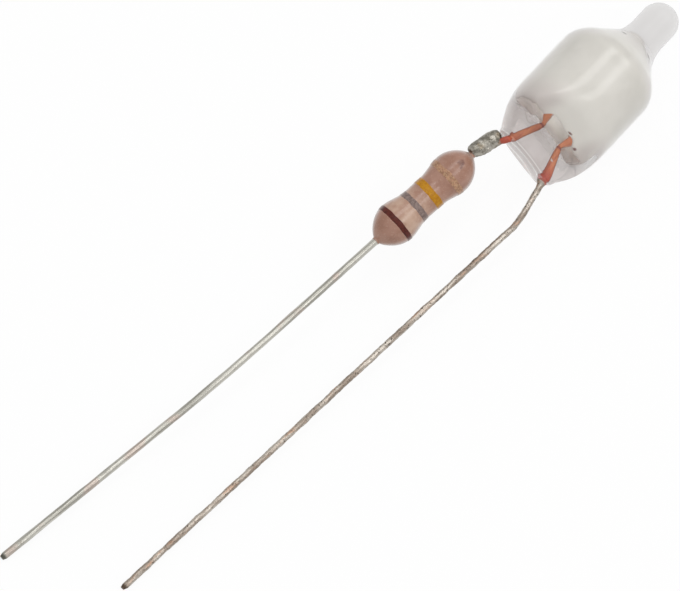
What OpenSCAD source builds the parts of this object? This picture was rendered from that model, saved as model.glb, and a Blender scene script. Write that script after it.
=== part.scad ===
// Wire-ended neon indicator lamp with a series resistor soldered in line on its short lead.
// It lies as it comes to rest: the bulb on its side and the cut ends of both long leads on the
// surface at z = 0. The bulb's axis is parallel to X, with its closed tip towards +X.

/* [Bulb] */
// Outside diameter of the bulb
bulb_d = 6; // [5:0.1:8]
// Wall of the blown glass
glass_wall = 0.5; // [0.35:0.05:0.7]
// Length from the seal's end to the start of the shoulder
straight_end = 6.8; // [6:0.1:9]
// Radius of the shoulder
shoulder_r = 1.7; // [1.2:0.1:2]
// Slope of the shoulder below the neck
shoulder_slope = 45; // [38:1:50]

/* [Sealed tip] */
// Diameter of the solid tip where the exhaust tube was closed
tip_d = 2.2; // [1.8:0.1:2.6]
// Length from the seal's end to the end of the tip
tip_end = 12.6; // [12:0.1:15]
// Radius of the hollow curve between shoulder and tip
neck_r = 3.5; // [2.4:0.1:3.8]
// Distance of the tip's axis from the bulb's axis, towards the long lead
tip_shift = 0.25; // [0:0.05:0.3]
// Diameter of the hollow's blind end below the tip
exhaust_d = 0.8; // [0.5:0.1:1.1]

/* [Pinched seal] */
// Width of the seal's end face
seal_w = 4; // [3.8:0.1:4.6]
// Length over which the seal widens to the bulb
seal_taper = 3.4; // [2:0.1:3.8]
// Thickness of the seal where the jaws pinched it thinnest
pinch_t = 1.5; // [1.2:0.1:2]
// Distance of the thinnest place from the seal's end
pinch_waist = 0.4; // [0.2:0.1:0.8]
// Distance from the seal's end at which the bulb is round again
pinch_end = 5; // [4.4:0.1:5.8]
// Crown of the seal's end face
end_crown = 0.12; // [0.05:0.01:0.2]
// Length of solid glass between the seal's end and the hollow
seal_solid = 2; // [1.6:0.1:2.4]
// Corner radius at the bottom of the hollow
hollow_corner = 0.7; // [0.4:0.1:0.9]
// Turn of the seal about the bulb's axis, short lead upwards
seal_roll = 42; // [20:1:60]

/* [Phosphor coating] */
// Thickness of the white layer inside the bulb
coating_t = 0.08; // [0.06:0.01:0.12]
// Distance of the layer's edge from the seal's end
coating_start = 2.6; // [2.5:0.1:3.6]

/* [Lamp wires] */
// Diameter of the lamp's own lead wires
lamp_wire_d = 0.35; // [0.3:0.05:0.45]
// Distance between the wires where they leave the glass
exit_gap = 3.2; // [2.6:0.1:3.3]
// Distance between the wires where they enter the hollow
hollow_gap = 1.7; // [1.2:0.1:1.8]
// Distance of the wires' middle from the bulb's axis, towards the long lead
wire_shift = 0.1; // [0:0.05:0.2]
// Distance between the axes of the electrodes
electrode_gap = 2.1; // [1.6:0.1:2.2]
// Diameter of an electrode
electrode_d = 0.7; // [0.5:0.1:0.8]
// Length of an electrode
electrode_l = 4.4; // [3.6:0.1:4.8]
// Distance from the coating's edge to the electrodes
electrode_setback = 0.6; // [0:0.05:0.8]
// Distance from the solid glass to the wires' elbows
elbow_clearance = 0.15; // [0.12:0.01:0.25]
// Bend radius of the wires inside the hollow
inner_bend_r = 0.3; // [0.2:0.05:0.4]

/* [Long lead] */
// Length of the stretch that splays away from the bulb
splay_l = 2.6; // [2:0.1:4]
// Angle of the splayed stretch from the bulb's axis, seen from above
splay_angle = 11; // [6:0.5:14]
// Length of the straight stretch beyond the bend
long_lead_l = 30.2; // [20:0.1:40]
// Angle of the straight stretch from the bulb's axis, back across it
long_lead_angle = 5.05; // [3:0.05:7]
// Radius of the bend between the two stretches
long_bend_r = 4; // [2:0.5:8]
// Radius of the bend just outside the glass
exit_bend_r = 0.8; // [0.5:0.1:1.2]
// Length of wire between the glass and its first bend
exit_stub = 0.18; // [0.14:0.01:0.25]

/* [Resistor] */
// Length of the lacquered body, skirts included
coat_l = 7.3; // [6.6:0.1:8]
// Diameter over the end caps
coat_d = 2.4; // [2.3:0.05:2.6]
// Diameter at the waist
waist_d = 1.9; // [1.86:0.02:2]
// Distance from each end of the body to its thickest place
crest_x = 1.6; // [1.5:0.05:1.8]
// Length over which the body falls from its thickest place to the waist
fall_l = 1.5; // [1.3:0.05:1.6]
// Distance of the end caps from the ends of the body
cap_inset = 0.8; // [0.7:0.05:0.9]
// Length of an end cap
cap_l = 1.3; // [1.1:0.05:1.4]
// Sheet thickness of an end cap
cap_t = 0.17; // [0.12:0.01:0.2]
// Diameter of the ceramic rod
core_d = 1.74; // [1.6:0.02:1.76]
// Corner radius of an end cap
cap_corner = 0.4; // [0.3:0.05:0.45]
// Thickness of a paint band
band_t = 0.03; // [0.02:0.01:0.05]
// Distance of the brown band from the long lead's end of the body
brown_x = 1.3; // [1.1:0.05:1.5]
// Distance of the grey band from the same end
grey_x = 2.8; // [2.6:0.05:3]
// Distance of the yellow band from the same end
yellow_x = 3.9; // [3.7:0.05:4.1]
// Distance of the gold band from the same end
gold_x = 5.2; // [5:0.05:5.5]
// Width of the brown band
brown_w = 0.31; // [0.25:0.01:0.45]
// Width of the grey band
grey_w = 0.37; // [0.25:0.01:0.5]
// Width of the yellow band
yellow_w = 0.45; // [0.3:0.01:0.5]
// Width of the gold band
gold_w = 0.37; // [0.25:0.01:0.5]

/* [Resistor leads] */
// Diameter of the resistor's leads
resistor_wire_d = 0.4; // [0.35:0.05:0.5]
// Distance of the resistor's axis from the short lead's exit, sideways
lap_y = 0.8; // [0.75:0.01:0.95]
// Drop of the resistor's axis below the short lead's exit
lap_drop = 0.14; // [0.05:0.01:0.2]
// Distance from the seal's end to the resistor's body, along its axis
body_start = 1.92; // [1.8:0.01:2.2]
// Distance from the seal's end to the bend in the long resistor lead
lead_bend_x = 20.6; // [16:0.1:22]
// Length of the resistor lead beyond that bend
lead_end_l = 15.5; // [12:0.1:24]
// Angle of the resistor from the bulb's axis, seen from above
resistor_angle = 6.8; // [5:0.1:9]
// Further turn of the lead at its bend
lead_turn = 3; // [1:0.1:5]
// Radius of that gentle bend
lead_bend_r = 150; // [60:5:160]

/* [Solder joint] */
// Greatest diameter of the lump
solder_d = 0.88; // [0.84:0.02:1.1]
// Diameter at the lump's ends
solder_end_d = 0.52; // [0.46:0.02:0.6]
// Length over which the solder wets the resistor's skirt
solder_wetting = 0.1; // [0.02:0.02:0.2]
// Distance of the lump from the seal's end
solder_start = 0.12; // [0.1:0.01:0.2]
// Distance from the seal's end to the corner where the lamp's short lead meets the resistor's
lap_corner = 0.62; // [0.56:0.02:0.76]
// Distance from the seal's end to the cut end of the resistor's short lead
lap_start = 0.5; // [0.45:0.01:0.7]
// Distance from the seal's end to the cut end of the lamp's short lead
lap_end = 1.45; // [1.3:0.01:1.6]
// Gap between the lapped wires, filled with solder
lap_gap = 0.02; // [0.01:0.01:0.05]
// Bend radius of the lamp's short lead beside the glass
lap_bend_r = 0.3; // [0.2:0.05:0.35]

/* [Hidden] */
$fn = 96;
arc_steps = 16;
beyond = 1;
bend_thinning = 0.015;
neck_seat = 0.05;
dome_power = 0.75;

bulb_r = bulb_d / 2;
tip_r = tip_d / 2;
lamp_wire_r = lamp_wire_d / 2;
resistor_wire_r = resistor_wire_d / 2;

// Half width of the ellipse that rounds the seal, so that it starts at the end face's width
seal_reach = seal_taper / sqrt(1 - pow(seal_w / bulb_d, 2));
// Radius of the two arcs that make each pinched face, hollow first and then crowned
pinch_rise = (bulb_d - pinch_t) / 2;
pinch_run = pinch_end - pinch_waist;
pinch_r = (pinch_run * pinch_run + pinch_rise * pinch_rise) / (4 * pinch_rise);
pinch_arc = 2 * atan(pinch_rise / pinch_run);

// End of the shoulder's arc, and where its slope would meet the axis
slope_start = [straight_end + shoulder_r * sin(shoulder_slope),
               bulb_r - shoulder_r * (1 - cos(shoulder_slope))];
slope_apex = slope_start.x + slope_start.y / tan(shoulder_slope);
// Where the hollow curve of the neck runs out into the tip. It starts a little inside the slope,
// so that the two surfaces cross.
neck_r_start = tip_r + neck_r * (1 - cos(shoulder_slope));
neck_end = slope_apex - (neck_r_start + tip_shift) / tan(shoulder_slope)
           + neck_r * sin(shoulder_slope) - neck_seat;

function unit(v) = v / norm(v);
function arc(centre, r, from, to) =
    [for (i = [0:arc_steps]) let (a = from + (to - from) * i / arc_steps)
        centre + r * [cos(a), sin(a)]];
// A point on one side of the wires' middle, turned with the seal and lifted to the bulb's height
function in_seal(x, side, y) = let (across = side * y - wire_shift)
    [x, across * cos(seal_roll), bulb_r + across * sin(seal_roll)];
// Direction of a lead that runs back from the seal, turned in plan and falling
function run_back(plan, fall) =
    [-cos(fall) * cos(plan), cos(fall) * sin(plan), -sin(fall)];
// Fall that brings the cut end of a straight wire down onto the surface
function fall_to_floor(height, l, r) = asin(height / sqrt(l * l + r * r)) - atan(r / l);

short_side = 1;
long_side = -1;
wire_splay = atan((exit_gap - hollow_gap) / 2 / seal_solid);

// Stations along the wires inside the bulb
elbow_x = seal_solid + elbow_clearance;
elbow_y = hollow_gap / 2 - (elbow_x - seal_solid) * tan(wire_splay);
electrode_x = coating_start + electrode_setback;
weld_run = 0.3;
stub_x = -exit_stub;
stub_y = exit_gap / 2 + exit_stub * tan(wire_splay);

// Route of the long lead, from the electrode to the cut end
long_exit = in_seal(stub_x, long_side, stub_y);
long_fall = fall_to_floor(long_exit.z, splay_l + long_lead_l, lamp_wire_r);
long_bend = long_exit + splay_l * run_back(-splay_angle, long_fall);
long_tip = long_bend + long_lead_l * run_back(long_lead_angle, long_fall);

// The resistor's axis, from its foot beside the short lead's exit
series_foot = in_seal(0, short_side, exit_gap / 2) + [0, lap_y, -lap_drop];
series_fall = fall_to_floor(series_foot.z, lead_bend_x + lead_end_l, resistor_wire_r);
series_run = run_back(resistor_angle, series_fall);
series_bend = series_foot + lead_bend_x * series_run;
series_end_run = run_back(resistor_angle + lead_turn, series_fall);
series_tip = series_bend + lead_end_l * series_end_run;
function on_series(u) = series_foot + u * series_run;

// The lamp's short lead lies beside the resistor's lead, on the side of the bulb's axis
lap_offset = unit(cross(series_run, [0, 0, -1])) * (lamp_wire_r + resistor_wire_r + lap_gap);
short_exit = in_seal(stub_x, short_side, stub_y);

// The lump of solder runs from beside the seal's end to the resistor's lead, between the wires
solder_foot_share = 0.72;
solder_head_share = 0.2;
solder_foot = on_series(solder_start) + lap_offset * solder_foot_share;
solder_head = on_series(body_start + solder_wetting) + lap_offset * solder_head_share;

cap_d = core_d + 2 * cap_t;

// The model's origin is below the middle of its outline, on the surface
low_x = min(long_tip.x - lamp_wire_r * norm([run_back(long_lead_angle, long_fall).y,
                                             run_back(long_lead_angle, long_fall).z]),
            series_tip.x - resistor_wire_r * norm([series_end_run.y, series_end_run.z]));
high_y = max(bulb_r, series_tip.y + resistor_wire_r * norm([series_end_run.x, series_end_run.z]));
origin = [(low_x + tip_end) / 2, (high_y - bulb_r) / 2, 0];

// Moves a sub-part from the bulb's seal to the model's origin
module at_rest() {
    translate(-origin) children();
}

// Turns a form made along Z so that it lies along the bulb's axis with the seal's roll
module along_bulb() {
    translate([0, 0, bulb_r]) rotate([seal_roll, 0, 0]) rotate([0, 90, 0]) children();
}

// Places a form made along Z on the resistor's axis, at a distance from its foot
module along_series(u) {
    translate(on_series(u))
        rotate([0, acos(series_run.z), atan2(series_run.y, series_run.x)]) children();
}

// A straight round rod from one point to another
module rod(from, to, d) {
    run = to - from;
    translate(from) rotate([0, acos(run.z / norm(run)), atan2(run.y, run.x)])
        cylinder(h = norm(run), d = d);
}

// The bend of a round wire at a corner of its route, a little thinner than the wire, as a bend
// draws it, and seated in the straight stretch at each side
module bend(before, corner, after, d, r) {
    arriving = unit(corner - before);
    leaving = unit(after - corner);
    turn = acos(arriving * leaving);
    normal = unit(cross(arriving, leaving));
    inward = cross(normal, arriving);
    centre = corner - r * tan(turn / 2) * arriving + r * inward;
    thinning = bend_thinning * d / 2;
    seated = asin(sqrt(r * thinning / 2) / r);
    multmatrix([[-inward.x, arriving.x, normal.x, centre.x],
                [-inward.y, arriving.y, normal.y, centre.y],
                [-inward.z, arriving.z, normal.z, centre.z],
                [0, 0, 0, 1]])
        rotate([0, 0, -seated]) rotate_extrude(angle = turn + 2 * seated)
            translate([r, 0]) circle(d = d - 2 * thinning);
}

function bend_reach(before, corner, after, r) =
    r * tan(acos(unit(corner - before) * unit(after - corner)) / 2);

// A round wire along a route, with a radius for each inner corner
module bent_wire(route, radii, d) {
    last = len(route) - 1;
    reach = [for (i = [0:last])
        i == 0 || i == last ? 0 : bend_reach(route[i - 1], route[i], route[i + 1], radii[i - 1])];
    for (i = [0:last - 1]) {
        run = unit(route[i + 1] - route[i]);
        rod(route[i] + reach[i] * run, route[i + 1] - reach[i + 1] * run, d);
    }
    for (i = [1:last - 1]) bend(route[i - 1], route[i], route[i + 1], d, radii[i - 1]);
}

// Outline of the glass below the neck, as radius against length, for turning about the axis
function bulb_outline() = concat(
    [[0, -end_crown]],
    [for (i = [1:arc_steps]) let (y = seal_w / 2 * i / arc_steps)
        [y, -end_crown * (1 - pow(2 * y / seal_w, 2))]],
    [for (i = [1:arc_steps]) let (x = seal_taper * i / arc_steps)
        [bulb_r * sqrt(1 - pow((seal_taper - x) / seal_reach, 2)), x]],
    [for (p = arc([straight_end, bulb_r - shoulder_r], shoulder_r, 90, 90 - shoulder_slope))
        [p.y, p.x]],
    [[0, slope_apex]]);

// Outline of the tip with the hollow curve of its neck
function tip_outline() = concat(
    [[0, slope_start.x]],
    [for (p = arc([neck_end, tip_r + neck_r], neck_r, -90 - shoulder_slope, -90)) [p.y, p.x]],
    [for (p = arc([tip_end - tip_r, 0], tip_r, 90, 0)) [p.y, p.x]]);

// Outline of the hollow, set in from the glass's outside
function hollow_outline(inset) = let (
    r = bulb_r - inset,
    low = seal_solid + inset - glass_wall,
    apex = slope_apex - inset / sin(shoulder_slope),
    end_r = exhaust_d / 2 - (inset - glass_wall),
    end_x = apex - end_r / tan(shoulder_slope)) concat(
    [[0, low]],
    [for (p = arc([low + hollow_corner, r - hollow_corner], hollow_corner, 180, 90)) [p.y, p.x]],
    [for (p = arc([straight_end, bulb_r - shoulder_r], shoulder_r - inset, 90,
                  90 - shoulder_slope)) [p.y, p.x]],
    [for (p = arc([end_x, 0], end_r, 90, 0)) [p.y, p.x]]);

// Side view of the pinch, thin at the seal's end and round from the end of the pinch
module pinch_side(inset) {
    upper = concat(
        [[-beyond, pinch_t / 2 - inset]],
        arc([pinch_waist, pinch_t / 2 + pinch_r], pinch_r + inset, -90, -90 + pinch_arc),
        arc([pinch_end, bulb_r - pinch_r], pinch_r - inset, 90 + pinch_arc, 90),
        [[tip_end + beyond, bulb_r - inset]]);
    polygon(concat(upper, [for (i = [len(upper) - 1:-1:0]) [upper[i].x, -upper[i].y]]));
}

// A turned form cut to the pinch
module pinched(inset) {
    intersection() {
        rotate_extrude() children();
        rotate([0, -90, 90]) translate([0, 0, -bulb_r - beyond])
            linear_extrude(bulb_d + 2 * beyond) pinch_side(inset);
    }
}

// Everything inside the glass's wall, drawn smaller by a further inset for the layer's inner face
module hollow(inset) {
    pinched(inset) polygon(hollow_outline(inset));
}

module short_lead_form() {
    bent_wire([in_seal(electrode_x, short_side, electrode_gap / 2),
               in_seal(electrode_x - weld_run, short_side, electrode_gap / 2),
               in_seal(elbow_x, short_side, elbow_y),
               short_exit,
               on_series(lap_corner) + lap_offset,
               on_series(lap_end) + lap_offset],
              [inner_bend_r, inner_bend_r, lap_bend_r, lap_bend_r], lamp_wire_d);
}

module long_lead_form() {
    bent_wire([in_seal(electrode_x, long_side, electrode_gap / 2),
               in_seal(electrode_x - weld_run, long_side, electrode_gap / 2),
               in_seal(elbow_x, long_side, elbow_y),
               long_exit, long_bend, long_tip],
              [inner_bend_r, inner_bend_r, exit_bend_r, long_bend_r], lamp_wire_d);
}

module glass_envelope() {
    color([0.82, 0.86, 0.88, 0.35])
    difference() {
        along_bulb() union() {
            pinched(0) polygon(bulb_outline());
            translate([0, -tip_shift, 0]) rotate_extrude() polygon(tip_outline());
        }
        along_bulb() hollow(glass_wall);
        short_lead_form();
        long_lead_form();
    }
}

module phosphor_coating() {
    color([0.9, 0.89, 0.87])
    along_bulb() intersection() {
        difference() {
            hollow(glass_wall);
            hollow(glass_wall + coating_t);
        }
        translate([0, 0, coating_start]) cylinder(h = tip_end, r = bulb_d);
    }
}

module electrode(side) {
    color([0.6, 0.6, 0.58])
    rod(in_seal(electrode_x, side, electrode_gap / 2),
        in_seal(electrode_x + electrode_l, side, electrode_gap / 2), electrode_d);
}

module short_side_electrode() {
    electrode(short_side);
}

module long_side_electrode() {
    electrode(long_side);
}

module short_lamp_lead() {
    color([0.72, 0.4, 0.28]) short_lead_form();
}

module long_lamp_lead() {
    color([0.66, 0.58, 0.5]) long_lead_form();
}

function solder_r(t) = (solder_end_d + (solder_d - solder_end_d) * sin(180 * t)) / 2;

module solder_joint() {
    run = solder_head - solder_foot;
    color([0.5, 0.5, 0.46])
    difference() {
        translate(solder_foot)
            rotate([0, acos(run.z / norm(run)), atan2(run.y, run.x)])
            rotate_extrude() polygon(concat([[0, 0]],
                [for (i = [0:arc_steps]) let (t = i / arc_steps) [solder_r(t), t * norm(run)]],
                [[0, norm(run)]]));
        short_lead_form();
        inner_resistor_lead();
        along_series(body_start) coat_form(0);
    }
}

module inner_resistor_lead() {
    color([0.76, 0.75, 0.7])
    rod(on_series(lap_start), on_series(body_start + cap_inset), resistor_wire_d);
}

module outer_resistor_lead() {
    color([0.8, 0.79, 0.75])
    bent_wire([on_series(body_start + coat_l - cap_inset), series_bend, series_tip],
              [lead_bend_r], resistor_wire_d);
}

// A drawn cup with its mouth towards +Z
module end_cap() {
    cap_r = cap_d / 2;
    color([0.62, 0.62, 0.6])
    difference() {
        rotate_extrude() polygon(concat(
            [[0, 0]],
            [for (p = arc([cap_r - cap_corner, cap_corner], cap_corner, -90, 0)) p],
            [[cap_r, cap_l], [0, cap_l]]));
        translate([0, 0, cap_t]) cylinder(h = cap_l, d = core_d);
    }
}

module inner_end_cap() {
    along_series(body_start + cap_inset) end_cap();
}

module outer_end_cap() {
    along_series(body_start + coat_l - cap_inset) mirror([0, 0, 1]) end_cap();
}

module resistor_core() {
    color([0.9, 0.88, 0.82])
    along_series(body_start + cap_inset + cap_t)
        cylinder(h = coat_l - 2 * (cap_inset + cap_t), d = core_d);
}

// Radius of the lacquered body at a distance from its nearer end
function coat_r(e) = e < crest_x
    ? max(resistor_wire_r + band_t, coat_d / 2 * pow(1 - pow(1 - e / crest_x, 2), dome_power))
    : waist_d / 2 + (coat_d - waist_d) / 4 * (1 + cos(min(180, 180 * (e - crest_x) / fall_l)));

// The lacquered body's outer form, grown outwards where a band is cut from it
module coat_form(grow) {
    steps = 3 * arc_steps;
    rotate_extrude() polygon(concat([[0, 0]],
        [for (i = [0:steps]) let (z = coat_l * (1 - cos(180 * i / steps)) / 2)
            [coat_r(min(z, coat_l - z)) + grow, z]],
        [[0, coat_l]]));
}

module resistor_coat() {
    color([0.78, 0.6, 0.52])
    difference() {
        along_series(body_start) coat_form(0);
        along_series(body_start + cap_inset) cylinder(h = cap_l, d = core_d);
        inner_end_cap();
        outer_end_cap();
        resistor_core();
        inner_resistor_lead();
        outer_resistor_lead();
    }
}

// A ring of paint on the lacquer, at a distance from the long lead's end of the body
module band(x, w) {
    along_series(body_start)
    intersection() {
        difference() {
            coat_form(band_t);
            coat_form(0);
        }
        translate([0, 0, coat_l - x - w / 2]) cylinder(h = w, r = coat_d);
    }
}

module brown_band() {
    color([0.38, 0.13, 0.12]) band(brown_x, brown_w);
}

module grey_band() {
    color([0.6, 0.58, 0.56]) band(grey_x, grey_w);
}

module yellow_band() {
    color([0.85, 0.6, 0.15]) band(yellow_x, yellow_w);
}

module gold_band() {
    color([0.62, 0.48, 0.3]) band(gold_x, gold_w);
}

at_rest() glass_envelope();
at_rest() phosphor_coating();
at_rest() short_side_electrode();
at_rest() long_side_electrode();
at_rest() short_lamp_lead();
at_rest() long_lamp_lead();
at_rest() solder_joint();
at_rest() inner_resistor_lead();
at_rest() outer_resistor_lead();
at_rest() inner_end_cap();
at_rest() outer_end_cap();
at_rest() resistor_core();
at_rest() resistor_coat();
at_rest() brown_band();
at_rest() grey_band();
at_rest() yellow_band();
at_rest() gold_band();
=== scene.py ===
from math import asin, atan, cos, hypot, pi, radians, sin, sqrt, tan

import bmesh
import bpy
from mathutils import Matrix, Vector, noise


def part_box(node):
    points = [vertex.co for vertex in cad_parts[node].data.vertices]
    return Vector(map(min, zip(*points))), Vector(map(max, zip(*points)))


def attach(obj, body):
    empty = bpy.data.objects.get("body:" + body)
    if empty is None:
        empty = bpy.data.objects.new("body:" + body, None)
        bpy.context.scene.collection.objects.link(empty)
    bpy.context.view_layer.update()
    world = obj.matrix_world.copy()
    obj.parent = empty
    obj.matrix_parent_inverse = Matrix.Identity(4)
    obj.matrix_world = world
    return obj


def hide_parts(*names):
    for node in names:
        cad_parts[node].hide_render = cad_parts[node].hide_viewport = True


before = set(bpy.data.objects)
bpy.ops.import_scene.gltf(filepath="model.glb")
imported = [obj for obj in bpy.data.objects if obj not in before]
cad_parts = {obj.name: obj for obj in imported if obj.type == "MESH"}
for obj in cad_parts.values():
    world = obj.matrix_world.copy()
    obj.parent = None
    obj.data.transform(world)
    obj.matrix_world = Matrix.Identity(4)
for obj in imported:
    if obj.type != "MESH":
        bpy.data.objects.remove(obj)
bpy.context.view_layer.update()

# Sizes are in millimetres in the bulb's own frame: X runs along the bulb's axis from the face of its seal
# to the tip, and Z up from the surface that the lamp lies on. BULB_FOOT is where that frame stands in the
# model.
MM = 0.001
BULB_LOW, BULB_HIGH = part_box("glass_envelope")

# The bulb.
BULB_R = 3.0
WALL = 0.5
STRAIGHT_END = 6.8
SHOULDER_R = 1.7
SHOULDER_TURN = radians(45)
NECK_R = 3.5
NECK_SEAT = 0.05
NECK_BLEND = 0.12  # how softly the shoulder runs into the neck
TIP_R = 1.1
TIP_END = 12.6
TIP_SHIFT = 0.25
EXHAUST_R = 0.4

# The seal, the pinch that shut it, and the powder that ends above it.
SEAL_HALF = 2.0
SEAL_TAPER = 3.4
SEAL_SOLID = 2.0
SEAL_ROLL = radians(42)
FACE_CROWN = 0.12
FACE_EDGE_R = 0.34
HOLLOW_CORNER = 0.7
PINCH_T = 1.5
PINCH_WAIST = 0.4
PINCH_END = 5.0
COATING_START = 2.6
COATING_T = 0.06
COATING_HOLD = 0.010  # how far the powder's outer skin lies inside the glass
FLANK_FALL = 0.36  # how much lower the powder's edge is on the flanks

# The lamp's wires.
WIRE_D = 0.35
WIRE_TOP = 3.2
WIRE_SHIFT = 0.1
ELECTRODE_GAP = 2.1
ELBOW_X = 2.9
HOLLOW_GAP = 1.7
HOLLOW_STUB = 0.15  # how far each wire runs straight on into the hollow
EXIT_GAP = 3.2
EXIT_X = -0.18
SPLAY_L = 2.6
SPLAY_ANGLE = radians(11)
LONG_L = 30.2
LONG_PLAN = radians(5.05)

# The lap and the resistor.
LAP_Y = 0.8
LAP_DROP = 0.14
LAP_WIDTH = 0.395  # from the resistor's lead to the short wire beside it
SERIES_PLAN = radians(6.8)
RESISTOR_WIRE_D = 0.4
BODY_START = 1.92
BODY_L = 7.3
COAT_D = 2.4
WAIST_D = 1.9
CREST_X = 1.6
FALL_L = 1.5
RING_LEAN = 0.13  # the slope of the painted rings
LEAD_BEND_X = 20.6
LEAD_BEND_R = 150.0
LEAD_TURN = radians(3)
LEAD_END_L = 15.5

# What follows from those sizes.
BULB_FOOT = Vector((BULB_HIGH.x / MM - TIP_END, (BULB_LOW.y + BULB_HIGH.y) / 2 / MM, 0))
SHOULDER_X = STRAIGHT_END + SHOULDER_R * sin(SHOULDER_TURN)
SHOULDER_START_R = BULB_R - SHOULDER_R * (1 - cos(SHOULDER_TURN))
SLOPE_APEX = SHOULDER_X + SHOULDER_START_R / tan(SHOULDER_TURN)
NECK_START_R = TIP_R + NECK_R * (1 - cos(SHOULDER_TURN))
NECK_START = SLOPE_APEX - (NECK_START_R + TIP_SHIFT) / tan(SHOULDER_TURN)
NECK_END = NECK_START + NECK_R * sin(SHOULDER_TURN) - NECK_SEAT
TIP_START = TIP_END - TIP_R
SEAL_REACH = SEAL_TAPER / sqrt(1 - (SEAL_HALF / BULB_R) ** 2)
PINCH_RISE = BULB_R - PINCH_T / 2
PINCH_RUN = PINCH_END - PINCH_WAIST
PINCH_R = (PINCH_RUN ** 2 + PINCH_RISE ** 2) / (4 * PINCH_RISE)
PINCH_ARC = 2 * atan(PINCH_RISE / PINCH_RUN)
WIRE_SPREAD = (EXIT_GAP - HOLLOW_GAP) / 2 / SEAL_SOLID
EXIT_REACH = EXIT_GAP / 2 - WIRE_SPREAD * EXIT_X
HOLLOW_REACH = HOLLOW_GAP / 2 - WIRE_SPREAD * HOLLOW_STUB

STAND = Matrix.Translation(BULB_FOOT)
BULB_AXIS = STAND @ Matrix.Translation((0, 0, BULB_R)) @ Matrix.Rotation(SEAL_ROLL, 4, "X")

# Off the bulb's axis, the way to the picture's lower right and the way to the camera.
LOWER_RIGHT = Vector((0, -0.9465, -0.3227))
NEAR = Vector((0, -0.3227, 0.9465))


def facing(x, lower_right, near):
    """A place by its distance along the bulb, and off its axis to the lower right and towards the camera."""
    return STAND @ (Vector((x, 0, BULB_R)) + LOWER_RIGHT * lower_right + NEAR * near)


def smooth(value, low, high):
    """Rises smoothly from 0 at low to 1 at high."""
    t = min(1.0, max(0.0, (value - low) / (high - low)))
    return t * t * (3 - 2 * t)


def steps(start, end, count, first=True):
    """Evenly spaced values from start to end."""
    return [start + (end - start) * i / count for i in range(0 if first else 1, count + 1)]


def turn_to(run):
    """The turn that brings X into line with run."""
    return Vector((1, 0, 0)).rotation_difference(run)


# ---- Finishes ----

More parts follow.
